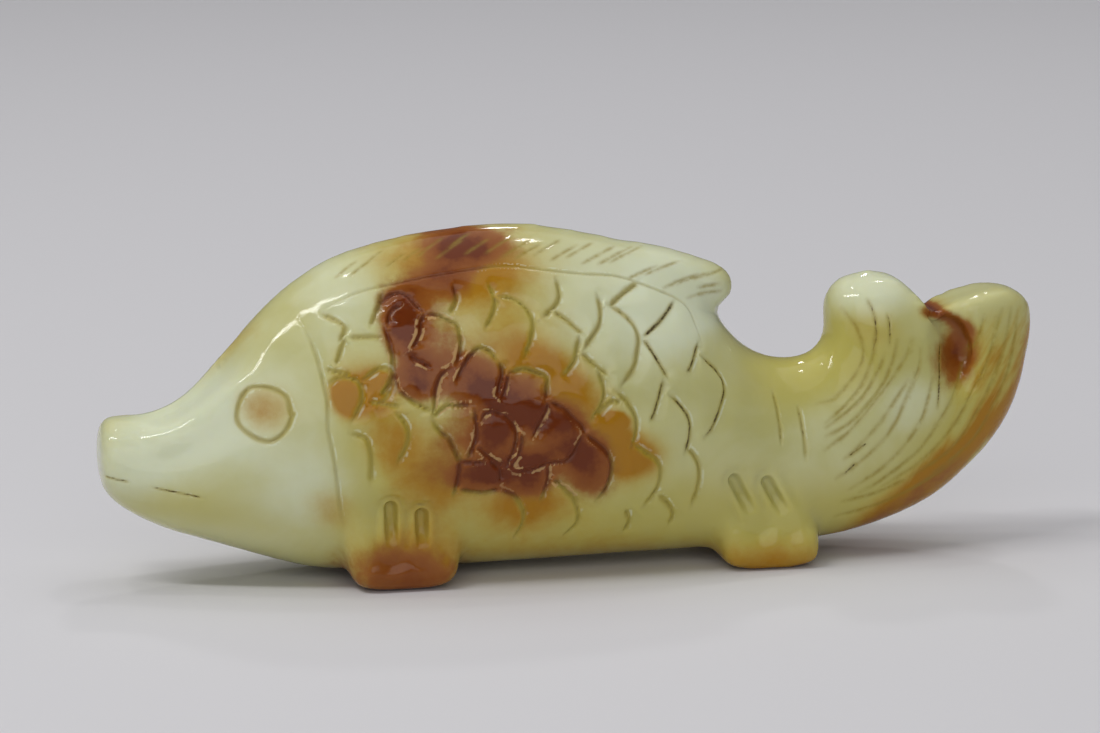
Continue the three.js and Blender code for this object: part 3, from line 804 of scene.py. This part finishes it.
# %% [markdown]
# ## A flat map for the finish
# When the fish leaves Blender its finish is baked to a picture, which needs a flat map. An
# automatic unwrap would tear the carved skin into hundreds of scraps. A fish lies flat by nature,
# so each flank is pressed flat as seen from the side, and the skin that curves over the back and
# the belly is folded outwards along its normal. The two flanks lie one above the other.

# %% Press the two flanks flat
FOLD = 0.7
HALF_THICKNESS = 11.0
MAP_LENGTH, MAP_FOOT = 112.0, 9.0
FAR_FLANK_SHIFT = 0.5

normals = np.empty(corner_count * 3)
fish.data.vertices.foreach_get("normal", normals)
normals = normals.reshape(-1, 3)
fold = FOLD * (HALF_THICKNESS - np.abs(corners[:, 1]))
flat_u = (corners[:, 0] + fold * normals[:, 0] + MAP_LENGTH / 2) / MAP_LENGTH
flat_v = (corners[:, 2] + fold * normals[:, 2] + MAP_FOOT) / MAP_LENGTH
loop_corner = np.empty(len(fish.data.loops), dtype=np.int64)
fish.data.loops.foreach_get("vertex_index", loop_corner)
loop_side = np.empty(len(fish.data.loops))
for face in fish.data.polygons:
    shift = 0.0 if face.center.y < 0 else FAR_FLANK_SHIFT
    loop_side[face.loop_start:face.loop_start + face.loop_total] = shift
flat_map = fish.data.uv_layers.new(name="OFBake")
places = np.stack([flat_u[loop_corner], flat_v[loop_corner] + loop_side], axis=1)
flat_map.data.foreach_set("uv", places.astype(np.float32).ravel())
print("flat map spans", places.min(axis=0).round(3), "to", places.max(axis=0).round(3))

# %% [markdown]
# ## The jade
# Polished jade is a felt of tiny fibres. Light sinks a few millimetres in and comes back soft, so
# the edges glow and the cuts never go black. Its green drifts between yellowish and milky. The
# rusty skin goes from honey at its rim to red-brown inside, mottled on a scale of a millimetre or
# less, and runs in slanting veins along the tail. Cuts show olive, with dark dirt in some, and a
# thin painted highlight, a glint, runs along their tail side. In the rusty skin their edges are
# chipped and chalky. Along the low flank and the belly some yellow and amber is painted shade, and
# one milky spot on the back is a painted reflection. All of it is built from noise on the object's
# own coordinates and from the notes on the mesh. The gloss is a tight polish that breaks down in the
# cuts.

# %% Small helpers for wiring a finish
jade = bpy.data.materials.new("polished jade")
jade.use_nodes = True
wiring = jade.node_tree
wiring.nodes.clear()


def put(kind, **settings):
    node = wiring.nodes.new(kind)
    for name, value in settings.items():
        setattr(node, name, value)
    return node


def join(value, socket):
    if isinstance(value, bpy.types.NodeSocket):
        wiring.links.new(value, socket)
    else:
        socket.default_value = value


def sum_up(how, a, b=None, c=None):
    node = put("ShaderNodeMath", operation=how)
    for value, socket in zip((a, b, c), node.inputs):
        if value is not None:
            join(value, socket)
    return node.outputs[0]


def fade(value, low, high):
    node = put("ShaderNodeMapRange", interpolation_type="SMOOTHSTEP")
    join(value, node.inputs["Value"])
    node.inputs["From Min"].default_value = low
    node.inputs["From Max"].default_value = high
    return node.outputs["Result"]


def tint(share, under, over):
    node = put("ShaderNodeMix", data_type="RGBA")
    join(share, node.inputs[0])
    join(under, node.inputs[6])
    join(over, node.inputs[7])
    return node.outputs[2]


def note(name):
    return put("ShaderNodeAttribute", attribute_name=name).outputs["Fac"]


def paint(red, green, blue):
    def linear(c):
        c /= 255
        return c / 12.92 if c <= 0.04045 else ((c + 0.055) / 1.055) ** 2.4
    return (linear(red), linear(green), linear(blue), 1)


place = put("ShaderNodeTexCoord").outputs["Object"]


def mottle(size_mm, detail=3.0, roughness=0.55, warp=0.0, where=place):
    node = put("ShaderNodeTexNoise")
    join(where, node.inputs["Vector"])
    node.inputs["Scale"].default_value = 1 / (size_mm * MM)
    node.inputs["Detail"].default_value = detail
    node.inputs["Roughness"].default_value = roughness
    node.inputs["Distortion"].default_value = warp
    return node.outputs["Fac"]


print("finish helpers ready")

# %% Noise at every scale of the stone
CLOUD_SIZE, DRIFT_SIZE, FLECK_SIZE, GRAIN_SIZE = 14, 4.5, 1.3, 0.35
cloud = mottle(CLOUD_SIZE, detail=4, warp=0.6)
drift = mottle(DRIFT_SIZE, detail=4, warp=0.4)
fleck = mottle(FLECK_SIZE, detail=5, roughness=0.65)
grain = mottle(GRAIN_SIZE, detail=3, roughness=0.6)
print("noise sizes in mm:", CLOUD_SIZE, DRIFT_SIZE, FLECK_SIZE, GRAIN_SIZE)

# %% The green of the stone
CELADON_DEEP = paint(191, 188, 124)
CELADON_PALE = paint(206, 206, 158)
MILK_AND_HIGHLIGHT = paint(222, 229, 204)
OLIVE_AND_SHADE = paint(188, 178, 88)
green = tint(fade(cloud, 0.3, 0.7), CELADON_DEEP, CELADON_PALE)
# Olive tone of the stone; along the low trunk it is partly painted shade.
green = tint(sum_up("MULTIPLY", fade(note("olive_and_shade"), 0.0, 1.1), 0.8), green, OLIVE_AND_SHADE)
# Milky tone of the stone, and on the upper trunk one painted soft reflection.
milk_and_sheen_amount = sum_up("ADD", note("milk_and_sheen"), sum_up("MULTIPLY", drift, 0.5))
green = tint(sum_up("MULTIPLY", fade(milk_and_sheen_amount, 0.4, 1.3), 0.75), green, MILK_AND_HIGHLIGHT)
print("green is built from", len(wiring.nodes), "nodes")

# %% The rusty skin
def ladder(share, steps):
    node = put("ShaderNodeValToRGB")
    join(share, node.inputs["Fac"])
    ramp = node.color_ramp
    while len(ramp.elements) < len(steps):
        ramp.elements.new(0.5)
    for element, (position, colour) in zip(ramp.elements, steps):
        element.position, element.color = position, colour
    return node.outputs["Color"]


HONEY = paint(194, 172, 68)
AMBER = paint(170, 118, 0)
TEA = paint(156, 116, 48)
CHESTNUT = paint(150, 92, 36)
RUSSET = paint(134, 72, 22)
RUSSET_DARK = paint(108, 46, 10)
VEIN_TURN, VEIN_STRETCH = math.radians(-60), (7, 1.5, 1)
slow_unrest = sum_up("MULTIPLY_ADD", drift, 0.5, -0.25)
unrest = sum_up("ADD", slow_unrest, sum_up("MULTIPLY_ADD", fleck, 0.24, -0.12))
turned = put("ShaderNodeMapping", vector_type="TEXTURE")
join(place, turned.inputs["Vector"])
turned.inputs["Rotation"].default_value = (0, VEIN_TURN, 0)
turned.inputs["Scale"].default_value = VEIN_STRETCH
vein = mottle(1.1, detail=3, warp=0.3, where=turned.outputs["Vector"])
veins = sum_up("MULTIPLY", note("veined"), sum_up("MULTIPLY_ADD", vein, 2.4, -1.3))
# Amber of the rusty skin, and along the belly a painted shade.
amber_and_shade_amount = sum_up("ADD", sum_up("ADD", note("amber_and_shade"), unrest), veins)
torn = sum_up("MULTIPLY", unrest, sum_up("MULTIPLY", fade(note("russet"), 0.0, 0.2), 1.5))
russet_amount = sum_up("ADD", note("russet"), torn)
honey = ladder(amber_and_shade_amount, [(0.2, HONEY), (0.9, AMBER)])
rust = ladder(russet_amount, [(0.15, TEA), (0.5, CHESTNUT), (0.85, RUSSET), (1.0, RUSSET_DARK)])
amber_and_shade_share = sum_up("MULTIPLY", fade(amber_and_shade_amount, 0.05, 0.95), 0.97)
russet_share = fade(russet_amount, 0.05, 0.6)
skin_colour = tint(russet_share, tint(amber_and_shade_share, green, honey), rust)
print("with the rusty skin", len(wiring.nodes), "nodes")

# %% Dirt and chips in the cuts
CUT_OLIVE = paint(168, 152, 58)
LINE_OLIVE = paint(150, 130, 40)
DIRT = paint(76, 56, 22)
CHALK = paint(196, 160, 108)
broken = fade(fleck, 0.35, 0.65)
cut_colour = tint(russet_share, CUT_OLIVE, RUSSET_DARK)
worked = tint(sum_up("MULTIPLY", fade(note("cut"), 0.1, 0.85), 0.8), skin_colour, cut_colour)
line_share = sum_up("MULTIPLY", note("fine_line"), sum_up("MULTIPLY_ADD", broken, 0.4, 0.3))
worked = tint(line_share, worked, LINE_OLIVE)
speck = mottle(0.8, detail=3, roughness=0.7)
crumbs = sum_up("MULTIPLY", note("grime"), sum_up("MULTIPLY_ADD", speck, 2.2, -0.2))
grime_share = fade(crumbs, 0.3, 0.75)
worked = tint(sum_up("MULTIPLY", grime_share, 0.9), worked, DIRT)
runs = mottle(1.9, detail=2, roughness=0.6)
scratch = fade(sum_up("ADD", sum_up("MULTIPLY", grain, 0.2), sum_up("MULTIPLY", runs, 0.8)), 0.4, 0.5)
# Painted highlight: a thin milky glint along the tail side of the cuts in the pale stone.
edge_share = sum_up("MULTIPLY", fade(note("edge"), 0.5, 1.0), fade(runs, 0.42, 0.6))
pale_share = sum_up("MULTIPLY_ADD", russet_share, -0.5, 0.5)
worked = tint(sum_up("MULTIPLY", edge_share, pale_share), worked, MILK_AND_HIGHLIGHT)
chalk_share = sum_up("MULTIPLY", fade(note("chalk"), 0.5, 0.85), scratch)
worked = tint(sum_up("MULTIPLY", chalk_share, 0.75), worked, CHALK)
print("with dirt and chips", len(wiring.nodes), "nodes")

# %% Gloss and fine surface
FINEST_POLISH, POLISH_DRIFT = 0.05, 0.08
CUT_ROUGHNESS, CHALK_ROUGHNESS = 0.3, 0.45
BUMP_STRENGTH, BUMP_HEIGHT = 0.35, 0.12
REFRACTION, SHINE = 1.5, 0.27
GLOW, GLOW_DEPTH, GLOW_SPREAD = 0.5, 1.4, (1.0, 0.85, 0.5)
polish = sum_up("MULTIPLY_ADD", fleck, POLISH_DRIFT, FINEST_POLISH)
polish = sum_up("MULTIPLY_ADD", note("cut"), CUT_ROUGHNESS, polish)
polish = sum_up("MULTIPLY_ADD", chalk_share, CHALK_ROUGHNESS, polish)
ripple_height = sum_up("MULTIPLY", drift, 0.5)
grain_height = sum_up("MULTIPLY", grain, sum_up("MULTIPLY_ADD", chalk_share, 0.3, 0.06))
bump = put("ShaderNodeBump")
bump.inputs["Strength"].default_value = BUMP_STRENGTH
bump.inputs["Distance"].default_value = BUMP_HEIGHT * MM
join(sum_up("ADD", ripple_height, grain_height), bump.inputs["Height"])

stone_shader = put("ShaderNodeBsdfPrincipled")
join(worked, stone_shader.inputs["Base Color"])
join(polish, stone_shader.inputs["Roughness"])
join(bump.outputs["Normal"], stone_shader.inputs["Normal"])
stone_shader.inputs["IOR"].default_value = REFRACTION
stone_shader.inputs["Specular IOR Level"].default_value = SHINE
stone_shader.inputs["Subsurface Weight"].default_value = GLOW
stone_shader.inputs["Subsurface Radius"].default_value = GLOW_SPREAD
stone_shader.inputs["Subsurface Scale"].default_value = GLOW_DEPTH * MM
out = put("ShaderNodeOutputMaterial")
join(stone_shader.outputs["BSDF"], out.inputs["Surface"])

fish.data.materials.clear()
fish.data.materials.append(jade)
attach(fish, "root")
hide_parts("jade_fish")
print("jade finish:", len(wiring.nodes), "nodes")

# %% [markdown]
# ## Table, light and camera
# The fish stands on a plain pale cloth. A broad light above it lights the back and lets the belly
# fall into shade, and a wide fill in front keeps that shade soft. A narrow strip draws the long
# highlight on the brow, and three small panes leave crisp glints along the back. The camera is a
# long lens a little above the fish, turned so the tail is slightly farther away.

# %% Plain pale floor
FLOOR_HALF = 4.0
bm = bmesh.new()
bmesh.ops.create_grid(bm, x_segments=1, y_segments=1, size=FLOOR_HALF)
floor_mesh = bpy.data.meshes.new("pale_floor")
bm.to_mesh(floor_mesh)
bm.free()
floor = bpy.data.objects.new("pale_floor", floor_mesh)
bpy.context.scene.collection.objects.link(floor)
cloth = bpy.data.materials.new("pale cloth")
cloth.use_nodes = True
cloth_shader = cloth.node_tree.nodes["Principled BSDF"]
cloth_shader.inputs["Base Color"].default_value = paint(217, 216, 219)
cloth_shader.inputs["Roughness"].default_value = 0.95
cloth_shader.inputs["Specular IOR Level"].default_value = 0.1
floor.data.materials.append(cloth)
print("floor is", 2 * FLOOR_HALF, "m square")

# %% Studio light
def soft_light(name, place_mm, aim_mm, size_mm, watts, roll=0):
    lamp = bpy.data.lights.new(name, "AREA")
    lamp.shape = "RECTANGLE"
    lamp.size, lamp.size_y = size_mm[0] * MM, size_mm[1] * MM
    lamp.energy = watts
    holder = bpy.data.objects.new(name, lamp)
    holder.location = Vector(place_mm) * MM
    holder.rotation_mode = "QUATERNION"
    facing = (Vector(aim_mm) - Vector(place_mm)).to_track_quat("-Z", "Y")
    holder.rotation_quaternion = facing @ Quaternion((0, 0, 1), math.radians(roll))
    bpy.context.scene.collection.objects.link(holder)
    return holder


FISH_MIDDLE = (0, 0, 15)
SKY_STRENGTH = 0.14
lamps = [
    soft_light("overhead", (0, 80, 900), (0, 0, 10), (1300, 1100), 3.6),
    soft_light("left strip", (-430, -140, 660), FISH_MIDDLE, (60, 460), 1.7, roll=-50),
    soft_light("middle pane", (-224, 80, 760), FISH_MIDDLE, (45, 45), 0.25),
    soft_light("right pane", (208, 200, 744), FISH_MIDDLE, (45, 45), 0.25),
    soft_light("back pane", (144, 544, 560), FISH_MIDDLE, (60, 45), 0.4),
    soft_light("front fill", (-200, -900, 420), FISH_MIDDLE, (1100, 700), 3.3),
]
print("lights:", [lamp.name for lamp in lamps])

sky = bpy.data.worlds.new("pale room")
sky.use_nodes = True
sky.node_tree.nodes["Background"].inputs["Color"].default_value = (0.80, 0.79, 0.82, 1)
sky.node_tree.nodes["Background"].inputs["Strength"].default_value = SKY_STRENGTH
bpy.context.scene.world = sky
bpy.context.scene.view_settings.view_transform = "Standard"

# %% Camera
TURN, LIFT, DISTANCE = math.radians(12), math.radians(12), 450
FOCAL, FILM = 148.9, 36
look = Vector((math.sin(TURN) * math.cos(LIFT), math.cos(TURN) * math.cos(LIFT), -math.sin(LIFT)))
eye = Vector((-1, 0, 13.8)) - look * DISTANCE
aim = Vector((-2.0, 1.4, 19.5))
lens = bpy.data.cameras.new("long lens")
lens.lens, lens.sensor_width = FOCAL, FILM
lens.clip_start, lens.clip_end = 0.01, 20
camera = bpy.data.objects.new("camera", lens)
camera.location = eye * MM
camera.rotation_mode = "QUATERNION"
camera.rotation_quaternion = (aim - eye).to_track_quat("-Z", "Y")
bpy.context.scene.collection.objects.link(camera)
bpy.context.scene.camera = camera
print("camera at", [round(v) for v in eye], "mm")
